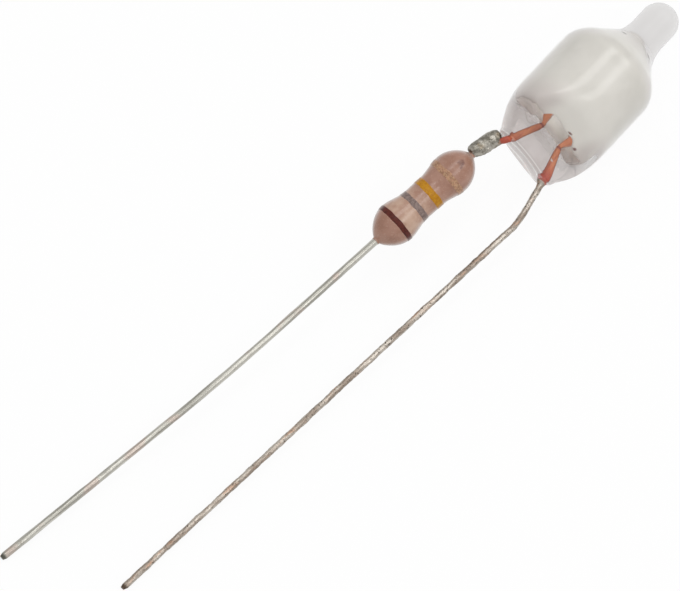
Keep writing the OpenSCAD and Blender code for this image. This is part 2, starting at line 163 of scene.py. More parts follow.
class Finish:
    """A material and its nodes; coordinates are the piece's own, in millimetres."""

    def __init__(self, name):
        self.material = bpy.data.materials.new(name)
        self.material.use_nodes = True
        self.tree = self.material.node_tree
        self.tree.nodes.clear()
        self.output = self.tree.nodes.new("ShaderNodeOutputMaterial")
        own = self.node("TexCoord")["Object"]
        self.place = self.node("VectorMath", {0: own, 1: (1 / MM,) * 3}, operation="MULTIPLY")["Vector"]

    def node(self, kind, inputs=None, **settings):
        """The outputs of a new node; an input is a value or another node's socket."""
        made = self.tree.nodes.new("ShaderNode" + kind)
        for key, value in settings.items():
            setattr(made, key, value)
        for key, value in (inputs or {}).items():
            if isinstance(value, bpy.types.NodeSocket):
                self.tree.links.new(value, made.inputs[key])
            else:
                made.inputs[key].default_value = value
        return made.outputs

    def turned(self, angles=(0, 0, 0), scale=(1, 1, 1), centre=(0, 0, 0)):
        """The coordinates about centre, turned and then stretched."""
        about = self.node("VectorMath", {0: self.place, 1: centre}, operation="SUBTRACT")["Vector"]
        inputs = {"Vector": about, "Rotation": angles, "Scale": scale}
        return self.node("Mapping", inputs, vector_type="TEXTURE")["Vector"]

    def grain(self, scale, detail=3.0, where=None, roughness=0.55):
        """Clouded noise, about 0.5 in the middle."""
        return self.node("TexNoise", {"Vector": where or self.place, "Scale": scale, "Detail": detail,
                                      "Roughness": roughness})["Fac"]

    def cells(self, scale):
        """The distance to the nearest of many scattered points."""
        return self.node("TexVoronoi", {"Vector": self.place, "Scale": scale})["Distance"]

    def math(self, operation, a, b=0.0):
        return self.node("Math", {0: a, 1: b}, operation=operation)["Value"]

    def sum(self, a, b):
        return self.math("ADD", a, b)

    def times(self, a, b):
        return self.math("MULTIPLY", a, b)

    def greater(self, a, b):
        return self.math("MAXIMUM", a, b)

    def away(self, value, middle=0.0):
        """How far a value is from a middle one, to either side."""
        return self.math("ABSOLUTE", self.math("SUBTRACT", value, middle))

    def between(self, value, low, high, to_low=0.0, to_high=1.0):
        """Runs smoothly from to_low to to_high as value goes from low to high."""
        inputs = {"Value": value, "From Min": low, "From Max": high, "To Min": to_low, "To Max": to_high}
        return self.node("MapRange", inputs, interpolation_type="SMOOTHSTEP")["Result"]

    def blend(self, factor, a, b):
        """Colour a where factor is 0, colour b where it is 1."""
        mix = self.tree.nodes.new("ShaderNodeMix")
        mix.data_type = "RGBA"
        for socket, value in ((mix.inputs[0], factor), (mix.inputs[6], a), (mix.inputs[7], b)):
            if isinstance(value, bpy.types.NodeSocket):
                self.tree.links.new(value, socket)
            else:
                socket.default_value = value if isinstance(value, float) else (*value, 1)
        return mix.outputs[2]

    def edge(self):
        """0 where a surface is seen square on, 1 where it is seen edge on."""
        return self.node("LayerWeight", {"Blend": 0.5})["Facing"]

    def along_model(self):
        return self.node("SeparateXYZ", {0: self.place})["X"]

    def along_bulb(self):
        """The distance along the bulb, the distance across its seal, and the height off the seal's plane."""
        turned = self.turned((SEAL_ROLL, 0, 0), centre=tuple(BULB_AXIS.translation))
        local = self.node("SeparateXYZ", {0: turned})
        return local["X"], local["Y"], local["Z"]

    def along_body(self):
        """The distance along the resistor's body from its bulb end."""
        place = series_place(BODY_START)
        local = self.turned(tuple(place.to_euler()), centre=tuple(place.translation))
        return self.node("SeparateXYZ", {0: local})["X"]

    def mark(self, place, run, half_length, half_width):
        """1 in a small smear about place, its long way along run, and 0 away from it."""
        local = self.turned(tuple(turn_to(run).to_euler()), (half_length, half_width, half_width), tuple(place))
        away = self.node("VectorMath", {0: local}, operation="LENGTH")["Value"]
        ragged = self.sum(away, self.between(self.grain(6.0, 3.0), 0.2, 0.8, -0.25, 0.25))
        return self.between(ragged, 0.5, 1.15, 1.0, 0.0)

    def smeared(self, tone, colour, strength, marks):
        """The tone with small smears on it, each with its place, its run, and half its length and width."""
        for mark in marks:
            tone = self.blend(self.times(self.mark(*mark), strength), tone, colour)
        return tone

    def relief(self, height, depth, strength=1.0, under=None):
        """A bump of this depth in millimetres, over another one if under is given."""
        inputs = {"Height": height, "Distance": depth * MM, "Strength": strength}
        if under is not None:
            inputs["Normal"] = under
        return self.node("Bump", inputs)["Normal"]

    def principled(self, colour, **inputs):
        values = {"Base Color": colour if isinstance(colour, bpy.types.NodeSocket) else (*colour, 1)}
        values.update({key.replace("_", " "): value for key, value in inputs.items()})
        return self.node("BsdfPrincipled", values)["BSDF"]

    def done(self, shader, volume=None):
        self.tree.links.new(shader, self.output.inputs["Surface"])
        if volume is not None:
            self.tree.links.new(volume, self.output.inputs["Volume"])
        return self.material


def blown_glass(marks):
    """Clear soda glass, grey-mauve where it is thick; lamplight passes straight to what it holds."""
    f = Finish("blown_glass")
    x, across, height = f.along_bulb()

    # The thick seal, clouded, with painted light that makes it paler on the long lead's side.
    folds = f.grain(0.9, 2.0, f.turned(scale=(1.6, 1, 1)))
    seal = f.blend(f.between(folds, 0.38, 0.64), (0.515, 0.435, 0.415), (0.62, 0.545, 0.525))
    seal = f.blend(f.between(across, -1.7, -0.6, 0.6, 0.0), seal, (0.74, 0.67, 0.65))

    # Bowed lines by the seal's face, 0.20 mm apart: painted highlights and painted shade in turn, over a darker
    # band by the face.
    bow = f.sum(f.sum(x, f.times(f.times(across, across), 0.045)), f.times(height, 0.30))
    waves = f.math("SINE", f.times(bow, 2 * pi / 0.20))
    near_face = f.between(bow, 0.22, 0.48, 1.0, 0.0)
    seal = f.blend(f.times(near_face, 0.5), seal, (0.50, 0.43, 0.41))
    seal = f.blend(f.times(f.between(waves, 0.55, 0.95, 0.0, 0.8), near_face), seal, (0.93, 0.91, 0.89))
    seal = f.blend(f.times(f.between(waves, -0.95, -0.6, 0.55, 0.0), near_face), seal, (0.36, 0.31, 0.29))

    # Thin dark lines on its flanks: painted shade in the glass's creases.
    flank = f.between(f.away(across), 0.9, 1.7)
    crease = f.away(f.grain(0.55, 1.0, f.turned(scale=(1.3, 1, 1))), 0.5)
    seal = f.blend(f.times(f.between(crease, 0.004, 0.016, 0.6, 0.0), flank), seal, (0.30, 0.25, 0.24))

    # Clear beyond the seal, with painted grey shade along its outline, darker still at the solid tip, which is
    # also duller.
    tone = f.blend(f.between(x, 1.4, 2.6), seal, (0.985, 0.978, 0.972))
    # The marks are painted shade: dark smears on the neck at its outline.
    tone = f.smeared(tone, (0.12, 0.10, 0.10), 0.85, marks)
    edge = f.edge()
    at_tip = f.between(x, 8.6, 9.8)
    tone = f.blend(f.between(edge, 0.80, 1.0, 0.0, 0.45), tone, (0.60, 0.585, 0.58))
    tone = f.blend(f.times(f.between(edge, 0.66, 0.96, 0.0, 0.7), at_tip), tone, (0.55, 0.545, 0.54))
    drawn = f.grain(1.1, 2.0, f.turned(scale=(6, 1, 1)))
    glass = f.principled(tone, IOR=1.3, Transmission_Weight=1.0, Roughness=f.between(at_tip, 0.0, 1.0, 0.12, 0.32),
                         Coat_Weight=f.between(at_tip, 0.0, 1.0, 1.0, 0.2), Coat_Roughness=0.26,
                         Normal=f.relief(drawn, 0.02, 0.35))

    # Light on its way to the powder and the wires isn't bent or lost.
    open_way = f.node("BsdfTransparent", {"Color": (0.98, 0.978, 0.976, 1)})["BSDF"]
    path = f.node("LightPath")
    onward = f.greater(path["Is Shadow Ray"], path["Is Reflection Ray"])
    onward = f.greater(onward, f.times(path["Is Glossy Ray"], 0.8))
    seen = f.node("MixShader", {0: onward, 1: glass, 2: open_way})["Shader"]
    body = f.node("VolumeAbsorption", {"Color": (0.06, 0.02, 0.0, 1), "Density": 150.0})["Volume"]
    return f.done(seen, body)


def powder_coating(name, low, high, speck, share, marks=()):
    """Warm white powder, uneven where it dried, with painted lilac-white sheen at its outline and painted mauve
    shade on its flanks; share of the light comes through it.
    """
    f = Finish(name)
    x, across, _ = f.along_bulb()
    fine = f.grain(14.0, 4.0)
    tone = f.blend(f.between(f.grain(0.55, 3.0), 0.35, 0.65), low, high)
    tone = f.blend(f.between(x, 2.8, 5.0, 0.9, 0.0), tone, (0.96, 0.945, 0.895))
    # A painted lilac-white sheen where the powder is seen edge on, standing for the pale room's reflection.
    tone = f.blend(f.between(f.edge(), 0.35, 0.9, 0.0, 0.75), tone, (0.92, 0.895, 0.925))
    tone = f.blend(f.between(x, 8.0, 9.2, 0.0, 0.8), tone, (0.75, 0.725, 0.70))
    # Painted mauve shade on the flanks near the powder's edge.
    flank = f.times(f.between(f.away(across), 1.0, 1.9), f.between(x, 2.4, 4.4, 0.9, 0.0))
    tone = f.blend(flank, tone, (0.74, 0.69, 0.66))
    tone = f.blend(f.between(fine, 0.3, 0.8, 0.0, 0.12), tone, speck)
    tone = f.smeared(tone, (0.24, 0.10, 0.09), 0.9, marks)
    powder = f.principled(tone, Roughness=0.85, Normal=f.relief(fine, 0.01, 0.5))
    lit_through = f.node("BsdfTranslucent", {"Color": tone})["BSDF"]
    thin = f.node("MixShader", {0: f.between(x, 7.0, 9.0, share, 0.0), 1: powder, 2: lit_through})["Shader"]
    through = f.node("BsdfTransparent", {"Color": (1, 1, 1, 1)})["BSDF"]
    shadow = f.node("LightPath")["Is Shadow Ray"]
    return f.done(f.node("MixShader", {0: shadow, 1: thin, 2: through})["Shader"])


def drawn_nickel():
    """Nickel rod with fine lines along it."""
    f = Finish("drawn_nickel")
    lines = f.grain(3.0, 4.0, f.turned(scale=(8, 1, 1)))
    tone = f.blend(f.between(lines, 0.3, 0.7), (0.50, 0.48, 0.45), (0.66, 0.64, 0.60))
    return f.done(f.principled(tone, Metallic=1.0, Roughness=0.34, Normal=f.relief(lines, 0.01, 0.4)))


def lamp_wire_finish(exit_x, cut_x, glow, pale_flecks=()):
    """Red oxide in the glass, with its pale flecks; outside, patchy dull tinning over copper, dark at the cut;
    painted shade darkens both along the wire's outline.
    """
    f = Finish("lamp_wire_finish")
    x, edge = f.along_model(), f.edge()
    along = f.turned(scale=(5, 1, 1))
    wander = f.between(f.grain(2.2, 2.0), 0.2, 0.8, -0.12, 0.12)
    inside = f.between(f.sum(x, wander), exit_x - 0.10, exit_x + 0.06)

    oxide = f.blend(f.between(x, exit_x, exit_x + 1.3), (0.52, 0.05, 0.022), glow)
    oxide = f.blend(f.between(x, BULB_FOOT.x - 0.16, BULB_FOOT.x), (0.38, 0.06, 0.03), oxide)
    oxide = f.blend(f.between(f.grain(5.0, 4.0, along), 0.42, 0.72, 0.0, 0.6), oxide, (0.42, 0.08, 0.05))
    # Painted shade darkens the oxide along the wire's outline.
    oxide = f.blend(f.between(edge, 0.38, 0.80, 0.0, 0.85), oxide, (0.24, 0.03, 0.03))
    from_hollow = f.away(x, BULB_FOOT.x + SEAL_SOLID + 0.03)
    oxide = f.blend(f.between(from_hollow, 0.04, 0.13, 0.8, 0.0), oxide, (0.26, 0.035, 0.03))
    # Small pale flecks on the oxide.
    oxide = f.smeared(oxide, (0.90, 0.82, 0.78), 1.0, pale_flecks)

    patches = f.grain(2.6, 5.0, along, 0.65)
    tin = f.blend(f.between(patches, 0.40, 0.60), (0.53, 0.48, 0.42), (0.34, 0.28, 0.23))
    copper = f.between(f.grain(4.4, 4.0, along, 0.6), 0.54, 0.68, 0.0, 0.7)
    tin = f.blend(copper, tin, (0.50, 0.31, 0.21))
    # Painted shade darkens the tinning along the wire's outline.
    tin = f.blend(f.between(edge, 0.55, 0.9, 0.0, 0.6), tin, (0.14, 0.11, 0.09))
    tin = f.blend(f.between(f.grain(9.0, 4.0), 0.56, 0.68), tin, (0.10, 0.085, 0.07))
    tin = f.blend(f.between(x, cut_x + 0.10, cut_x + 0.32, 1.0, 0.0), tin, (0.10, 0.07, 0.05))

    rough = f.sum(f.between(patches, 0.35, 0.65, 0.30, 0.55), f.between(inside, 0.0, 1.0, 0.0, 0.05))
    bump = f.relief(f.grain(8.0, 5.0), 0.05, 0.5, f.relief(patches, 0.04, 0.5))
    return f.done(f.principled(f.blend(inside, tin, oxide), Metallic=f.between(inside, 0.0, 1.0, 0.92, 0.05),
                               Roughness=rough, Normal=bump))


def rough_solder():
    """Dull, pitted solder, browned here and there by flux."""
    f = Finish("rough_solder")
    lumps = f.grain(2.6, 5.0, roughness=0.6)
    pits = f.between(f.cells(5.5), 0.0, 0.22, 1.0, 0.0)
    tone = f.blend(f.between(lumps, 0.36, 0.62), (0.45, 0.425, 0.375), (0.18, 0.165, 0.135))
    tone = f.blend(f.times(pits, 0.8), tone, (0.08, 0.075, 0.065))
    tone = f.blend(f.between(f.grain(1.5, 3.0), 0.55, 0.75, 0.0, 0.5), tone, (0.33, 0.25, 0.16))
    rough = f.between(f.grain(7.0, 4.0), 0.3, 0.7, 0.26, 0.55)
    bump = f.relief(f.grain(9.0, 5.0), 0.05, 0.55, f.relief(pits, -0.06, 0.7))
    return f.done(f.principled(tone, Metallic=1.0, Roughness=rough, Normal=bump))


def bright_tinning(run, cut_x):
    """A dipped wire, a little dulled, with long streaks along it and a dark cut end."""
    f = Finish("bright_tinning")
    along = f.turned(tuple(turn_to(run).to_euler()), (22, 1, 1))
    streaks = f.grain(5.0, 4.0, along, 0.6)
    tone = f.blend(f.between(streaks, 0.38, 0.62), (0.60, 0.585, 0.53), (0.36, 0.35, 0.31))
    tone = f.blend(f.between(f.grain(3.2, 5.0), 0.60, 0.74, 0.0, 0.7), tone, (0.27, 0.24, 0.20))
    tone = f.blend(f.between(f.grain(0.7, 2.0), 0.52, 0.64, 0.0, 0.6), tone, (0.50, 0.40, 0.35))
    # Painted shade darkens the wire along its outline.
    tone = f.blend(f.between(f.edge(), 0.55, 0.9, 0.0, 0.5), tone, (0.16, 0.15, 0.12))
    cut = f.between(f.along_model(), cut_x + 0.08, cut_x + 0.24, 0.9, 0.0)
    tone = f.blend(cut, tone, (0.08, 0.075, 0.06))
    rough = f.between(f.grain(2.0, 4.0, along), 0.3, 0.7, 0.26, 0.46)
    return f.done(f.principled(tone, Metallic=1.0, Roughness=rough, Normal=f.relief(streaks, 0.025, 0.6)))


def pressed_steel():
    """Plain steel of the resistor's end caps."""
    f = Finish("pressed_steel")
    grain = f.grain(6.0, 4.0)
    tone = f.blend(f.between(grain, 0.3, 0.7), (0.42, 0.42, 0.41), (0.58, 0.58, 0.57))
    return f.done(f.principled(tone, Metallic=1.0, Roughness=0.36, Normal=f.relief(grain, 0.01, 0.4)))


def fired_ceramic():
    """Pale matt ceramic of the resistor's core."""
    f = Finish("fired_ceramic")
    grain = f.grain(9.0, 5.0)
    tone = f.blend(f.between(grain, 0.3, 0.7), (0.74, 0.71, 0.65), (0.82, 0.80, 0.75))
    return f.done(f.principled(tone, Roughness=0.8, Normal=f.relief(grain, 0.02, 0.5)))


def painted_edge_sheen(f, tone, most):
    """Paints the lacquer paler where it is seen edge on, a painted reflection of the pale room."""
    return f.blend(f.between(f.edge(), 0.42, 0.92, 0.0, most), tone, (0.50, 0.435, 0.41))


def salmon_lacquer(smears):
    """Thick brownish lacquer, thin and paler over the waist, with small scorched smears near the solder."""
    f = Finish("salmon_lacquer")
    clouds = f.grain(1.3, 4.0)
    specks = f.grain(11.0, 4.0)
    x = f.along_body()
    thick = f.blend(f.between(clouds, 0.34, 0.66), (0.285, 0.135, 0.085), (0.345, 0.18, 0.125))
    thin = f.blend(f.between(clouds, 0.36, 0.62), (0.37, 0.21, 0.145), (0.47, 0.31, 0.225))
    wander = f.between(f.grain(0.9, 3.0), 0.25, 0.75, -0.35, 0.35)
    waist = f.times(f.between(f.sum(x, wander), 3.0, 4.9), f.between(x, 5.75, 6.1, 1.0, 0.0))
    tone = f.blend(waist, thick, thin)
    tone = f.blend(f.between(specks, 0.56, 0.72, 0.0, 0.35), tone, (0.55, 0.38, 0.30))
    patchy = f.between(f.grain(4.5, 4.0), 0.34, 0.64, 0.95, 0.475)
    tone = f.smeared(tone, (0.12, 0.04, 0.028), patchy, smears)
    uneven = f.relief(f.grain(1.8, 2.0), 0.10, 0.5)
    # The lacquer's outline gets a painted sheen.
    return f.done(f.principled(painted_edge_sheen(f, tone, 0.75), Roughness=0.36, Coat_Weight=0.5, Coat_Roughness=0.08,
                               Normal=f.relief(specks, 0.012, 0.3, uneven)))


def band_paint(name, pale, dark, scale=6.0, mottle=0.1, metallic=0.0, rough=0.4, flecks=None):
    """Paint of one code ring under the gloss, a little uneven; flecks is the colour of leafing in it."""
    f = Finish(name)
    patches = f.grain(scale, 5.0, roughness=0.65)
    tone = f.blend(f.between(patches, 0.5 - mottle, 0.5 + mottle), pale, dark)
    if flecks:
        tone = f.blend(f.between(f.grain(13.0, 2.0), 0.44, 0.68, 0.0, 0.5), tone, flecks)
    # The paint's outline gets a painted sheen.
    return f.done(f.principled(painted_edge_sheen(f, tone, 0.6), Metallic=metallic, Roughness=rough,
                               Specular_IOR_Level=0.15, Coat_Weight=0.08, Coat_Roughness=0.12,
                               Normal=f.relief(patches, 0.01, 0.4)))


# ---- Making forms ----

def add(name, data):
    """A new object in the scene."""
    made = bpy.data.objects.new(name, data)
    bpy.context.scene.collection.objects.link(made)
    return made


def spun(bm, profile, turns, closed=False):
    """Turns a profile of (distance along X, radius) about X and returns its vertices."""
    before = set(bm.verts)
    line = [bm.verts.new((x, 0, r)) for x, r in profile]
    edges = [bm.edges.new(pair) for pair in zip(line, line[1:] + (line[:1] if closed else []))]
    bmesh.ops.spin(bm, geom=line + edges, cent=(0, 0, 0), axis=(1, 0, 0), dvec=(0, 0, 0), angle=2 * pi,
                   steps=turns, use_merge=True)
    bmesh.ops.remove_doubles(bm, verts=[v for v in bm.verts if v not in before], dist=2e-5)
    made = [v for v in bm.verts if v not in before]
    bmesh.ops.recalc_face_normals(bm, faces=list({face for v in made for face in v.link_faces}))
    return made


def settle(bm, name, place, finish, slot, *nodes, crease=None):
    """Moves a form from millimetres to its place in the model, gives it its finish, and hides the solids that it
    stands for.
    """
    bmesh.ops.transform(bm, matrix=Matrix.Scale(MM, 4) @ place, verts=bm.verts)
    mesh = bpy.data.meshes.new(name)
    bm.to_mesh(mesh)
    bm.free()
    mesh.polygons.foreach_set("use_smooth", [True] * len(mesh.polygons))
    if crease:
        mesh.set_sharp_from_angle(angle=radians(crease))
    mesh.materials.append(finish)
    piece = add(name, mesh)
    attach(piece, "root")
    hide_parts(*nodes)
    return piece


def routed(points, radii, spacing):
    """A route of straight stretches through points, rounded at each inner one, as closely spaced points."""
    corners = [points[0]]
    for before, at, after, radius in zip(points, points[1:], points[2:], radii):
        into, out = (at - before).normalized(), (after - at).normalized()
        turn = into.angle(out)
        start = at - into * radius * tan(turn / 2)
        centre = at + (out - into).normalized() * radius / cos(turn / 2)
        axis = into.cross(out).normalized()
        count = max(2, int(radius * turn / spacing) + 1)
        corners += [centre + Matrix.Rotation(part, 3, axis) @ (start - centre) for part in steps(0, turn, count)]
    corners.append(points[-1])
    line = []
    for a, b in zip(corners, corners[1:]):
        count = max(1, round((b - a).length / spacing))
        line += [a.lerp(b, i / count) for i in range(count)]
    return line + [corners[-1]]


def swept(line, radius_at, sides):
    """A closed wire along line; radius_at gives its radius at a distance from the start."""
    curve = bpy.data.curves.new("route", "CURVE")
    curve.dimensions = "3D"
    curve.bevel_depth = 1.0
    curve.bevel_resolution = sides // 2 - 2
    curve.use_fill_caps = True
    spline = curve.splines.new("POLY")
    spline.points.add(len(line) - 1)
    gone = 0.0
    for i, at in enumerate(line):
        gone += (at - line[i - 1]).length if i else 0.0
        spline.points[i].co = (*at, 1)
        spline.points[i].radius = radius_at(gone)
    holder = add("route", curve)
    mesh = bpy.data.meshes.new_from_object(holder.evaluated_get(bpy.context.evaluated_depsgraph_get()))
    bpy.data.objects.remove(holder)
    bpy.data.curves.remove(curve)
    bm = bmesh.new()
    bm.from_mesh(mesh)
    bpy.data.meshes.remove(mesh)
    bmesh.ops.remove_doubles(bm, verts=bm.verts, dist=1e-5)
    bmesh.ops.recalc_face_normals(bm, faces=bm.faces)
    return bm


def roughen(bm, verts, depth, scale, seed=0.0, stretch=(1, 1, 1), octaves=4):
    """Moves verts in and out along their normals by a clouded relief."""
    bm.normal_update()
    moves = []
    for v in verts:
        at = Vector(c * s for c, s in zip(v.co * scale, stretch)) + Vector((seed, seed, seed))
        moves.append((v, v.normal * depth * noise.fractal(at, 1.0, 2.0, octaves)))
    for v, move in moves:
        v.co += move


# ---- The bulb ----

def pressed_half(x, inset):
    """Half the wall's thickness across the seal at x, on a surface that lies inset from the outside."""
    if x <= PINCH_WAIST:
        return PINCH_T / 2 - inset
    if x <= PINCH_WAIST + (PINCH_R + inset) * sin(PINCH_ARC):
        return PINCH_T / 2 + PINCH_R - sqrt((PINCH_R + inset) ** 2 - (x - PINCH_WAIST) ** 2)
    if x < PINCH_END:
        return BULB_R - PINCH_R + sqrt((PINCH_R - inset) ** 2 - (PINCH_END - x) ** 2)
    return BULB_R - inset


def press(verts, inset):
    """Presses a turned wall flat towards the seal, with the sides and the face's edge rounded as in hot glass."""
    for v in verts:
        half = pressed_half(v.co.x, inset)
        if inset == 0:
            edge = min(1.0, max(0.0, (v.co.x + FACE_CROWN) / (FACE_EDGE_R + FACE_CROWN)))
            half -= FACE_EDGE_R * 0.8 * (1 - sqrt(1 - (1 - edge) ** 2))
        squareness = 6 + 3 * half / (BULB_R - inset)
        pressed = v.co.z / (1 + (abs(v.co.z) / half) ** squareness) ** (1 / squareness)
        v.co.z = pressed + (v.co.z - pressed) * smooth(v.co.x, COATING_START, PINCH_END)


def tip_sides(x):
    """The bulb's reach at x on the long lead's side and on the short lead's."""
    slope = SLOPE_APEX - x
    if x < NECK_END:
        tip = TIP_R + NECK_R - sqrt(NECK_R ** 2 - (NECK_END - x) ** 2)
    elif x < TIP_START:
        tip = TIP_R
    else:
        tip = sqrt(max(0.0, TIP_R ** 2 - (x - TIP_START) ** 2))
    reach = []
    for side in (tip + TIP_SHIFT, tip - TIP_SHIFT):
        soft = NECK_BLEND * smooth(x, SHOULDER_X, SHOULDER_X + 0.4) * (1 - smooth(x, NECK_END - 0.6, NECK_END))
        reach.append((slope + side + sqrt((slope - side) ** 2 + soft ** 2)) / 2 if x < NECK_END else side)
    return reach


def on_neck(x, lower_right):
    """A place on the near side of the neck's outside."""
    long_side, short_side = tip_sides(x)
    shift = Vector((0, -cos(SEAL_ROLL), -sin(SEAL_ROLL))) * (long_side - short_side) / 2
    off = lower_right - shift.dot(LOWER_RIGHT)
    return facing(x, lower_right, sqrt(((long_side + short_side) / 2) ** 2 - off ** 2) + shift.dot(NEAR))


def outside_profile():
    """(distance, radius) of the bulb's outside, from the middle of the seal's face to the tip."""
    def side_r(x):
        drawn_in = 1 - 0.05 * (1 - smooth(x, 0.0, 1.6))
        return BULB_R * drawn_in * sqrt(1 - ((SEAL_TAPER - x) / SEAL_REACH) ** 2)

    rim = SEAL_HALF - 0.25
    line = [(-FACE_CROWN * (1 - (r / SEAL_HALF) ** 2), r) for r in steps(0, rim, 18)]
    edge_x, end_x, end_r = line[-1][0], FACE_EDGE_R, side_r(FACE_EDGE_R)
    for turn in steps(0, pi / 2, 8, first=False):
        line.append((edge_x + (end_x - edge_x) * (1 - cos(turn)), rim + (end_r - rim) * sin(turn)))
    line += [(x, side_r(x)) for x in steps(end_x, SEAL_TAPER, 44, first=False)]
    line += [(x, BULB_R) for x in steps(SEAL_TAPER, STRAIGHT_END, 30, first=False)]
    for turn in steps(0, SHOULDER_TURN, 16, first=False):
        line.append((STRAIGHT_END + SHOULDER_R * sin(turn), BULB_R - SHOULDER_R * (1 - cos(turn))))
    for x in steps(SHOULDER_X, TIP_START, 56, first=False):
        long_side, short_side = tip_sides(x)
        line.append((x, (long_side + short_side) / 2))
    for turn in steps(0, pi / 2, 22, first=False):
        line.append((TIP_START + TIP_R * sin(turn), TIP_R * cos(turn)))
    return line


def hollow_profile(inset, start=None):
    """(distance, radius) of the hollow's wall, at inset from the bulb's outside, or of its part from start on."""
    low, r = SEAL_SOLID + inset - WALL, BULB_R - inset
    apex = SLOPE_APEX - inset / sin(SHOULDER_TURN)
    end_r = EXHAUST_R - (inset - WALL)
    arc_r = SHOULDER_R - inset
    if start is None:
        line = [(low, s) for s in steps(0, r - HOLLOW_CORNER, 20)]
        line += [(low + HOLLOW_CORNER * (1 - cos(t)), r - HOLLOW_CORNER * (1 - sin(t)))
                 for t in steps(0, pi / 2, 12, first=False)]
        start = low + HOLLOW_CORNER
    else:
        line = [(start, r)]
    line += [(x, r) for x in steps(start, STRAIGHT_END, 40, first=False)]
    line += [(STRAIGHT_END + arc_r * sin(t), r - arc_r * (1 - cos(t)))
             for t in steps(0, SHOULDER_TURN, 12, first=False)]
    slope_x = STRAIGHT_END + arc_r * sin(SHOULDER_TURN)
    end_x = apex - end_r / tan(SHOULDER_TURN)
    line += [(x, apex - x) for x in steps(slope_x, end_x, 22, first=False)]
    dome = 0.9 * end_r * tan(SHOULDER_TURN)
    line += [(end_x + dome * sin(t), end_r * cos(t)) for t in steps(0, pi / 2, 6, first=False)]
    return line


def seal_marks(verts):
    """Faint curved ridges from the jaws by the seal's face, and slack folds on its flanks."""
    folds_end, ridge_gap = 3.2, 0.19
    for v in verts:
        x, y, z = v.co
        if x > folds_end:
            continue
        fade = 1 - smooth(x, folds_end / 2, folds_end)
        side = 1 if z > 0 else -1
        flank = smooth(abs(y), 1.0, 2.2)
        near_face = smooth(x, -0.05, 0.05) * (1 - smooth(x, 0.25, 0.6))
        ridge = 0.016 * sin(2 * pi * (x + 0.05 * y * y) / ridge_gap) * near_face * (1 - flank)
        fold = 0.030 * noise.noise(Vector((x * 1.5 + y * 1.1, y * 0.5 - x * 0.4, side * 3.0)))
        fold *= 0.4 + 0.6 * flank
        v.co.z += side * (ridge + fold * fade) * smooth(abs(z), 0.05, 0.4)


def make_bulb(finish):
    """The glass: its outside with the shifted tip, and the hollow, both pressed flat at the seal."""
    bm = bmesh.new()
    outside = spun(bm, outside_profile(), 192)
    press(outside, 0.0)
    seal_marks(outside)
    for v in outside:
        if v.co.x > SHOULDER_X:
            long_side, short_side = tip_sides(v.co.x)
            v.co.y -= (long_side - short_side) / 2 if v.co.x < TIP_START else TIP_SHIFT
    hollow = spun(bm, hollow_profile(WALL), 128)
    press(hollow, WALL)
    bmesh.ops.reverse_faces(bm, faces=list({face for v in hollow for face in v.link_faces}))
    settle(bm, "bulb_glass", BULB_AXIS, finish, "clear_glass", "glass_envelope")


def make_coating(finish, inside):
    """The powder lining, ragged at its edge, which falls on the flanks; its inner skin takes the second finish."""
    bm = bmesh.new()
    for inset in (WALL - COATING_HOLD, WALL + COATING_T):
        skin = spun(bm, hollow_profile(inset, COATING_START), 128)
        corner_end = SEAL_SOLID + inset - WALL + HOLLOW_CORNER
        for v in skin:
            near_edge = 1 - smooth(v.co.x, COATING_START, COATING_START + 1.8)
            around = Vector((0, v.co.y, v.co.z)).normalized()
            ragged = 0.08 * noise.fractal(around * 2.75, 1.0, 2.0, 4)
            flank = smooth(around.y * BULB_R, 1.15, 1.9) + smooth(-around.y * BULB_R, 0.9, 1.8)
            v.co.x += near_edge * (ragged - FLANK_FALL * flank)
            into_corner = min(1.0, max(0.0, corner_end - v.co.x) / HOLLOW_CORNER)
            v.co -= around * HOLLOW_CORNER * (1 - sqrt(1 - into_corner ** 2))
        press(skin, inset)
        if inset > WALL:
            faces = list({face for v in skin for face in v.link_faces})
            bmesh.ops.reverse_faces(bm, faces=faces)
            for face in faces:
                face.material_index = 1
    bmesh.ops.bridge_loops(bm, edges=[edge for edge in bm.edges if edge.is_boundary])
    lining = settle(bm, "powder_lining", BULB_AXIS, finish, "phosphor", "phosphor_coating")
    lining.data.materials.append(inside)


# ---- Wires, solder and resistor ----

def in_seal(x, side, reach):
    """A point in the seal's plane: side is +1 for the short lead and -1 for the long one."""
    across = side * reach - WIRE_SHIFT
    return Vector((x, across * cos(SEAL_ROLL), BULB_R + across * sin(SEAL_ROLL)))


def run_back(plan, fall):
    """The way back from the bulb, turned by plan as seen from above and falling by fall."""
    return Vector((-cos(fall) * cos(plan), cos(fall) * sin(plan), -sin(fall)))


def fall_to_floor(height, length, radius):
    """The fall that lays the end of a wire of this length and radius on the surface."""
    return asin(height / hypot(length, radius)) - atan(radius / length)


series_foot = in_seal(0, 1, EXIT_GAP / 2) + Vector((0, LAP_Y, -LAP_DROP))
series_fall = fall_to_floor(series_foot.z, LEAD_BEND_X + LEAD_END_L, RESISTOR_WIRE_D / 2)
series_run = run_back(SERIES_PLAN, series_fall)
lap_offset = series_run.cross(Vector((0, 0, -1))).normalized() * LAP_WIDTH


def on_series(distance):
    """A point on the line of the resistor and its leads."""
    return series_foot + series_run * distance


def series_place(distance):
    """The frame whose X runs along the resistor's line from a distance along it."""
    return STAND @ Matrix.Translation(on_series(distance)) @ turn_to(series_run).to_matrix().to_4x4()


def inside_route(side):
    """A lamp wire's corners in the glass: its weld, its elbow, and where it enters and leaves the seal."""
    return [in_seal(WIRE_TOP, side, ELECTRODE_GAP / 2), in_seal(ELBOW_X, side, ELECTRODE_GAP / 2),
            in_seal(SEAL_SOLID + HOLLOW_STUB, side, HOLLOW_REACH), in_seal(EXIT_X, side, EXIT_REACH)]


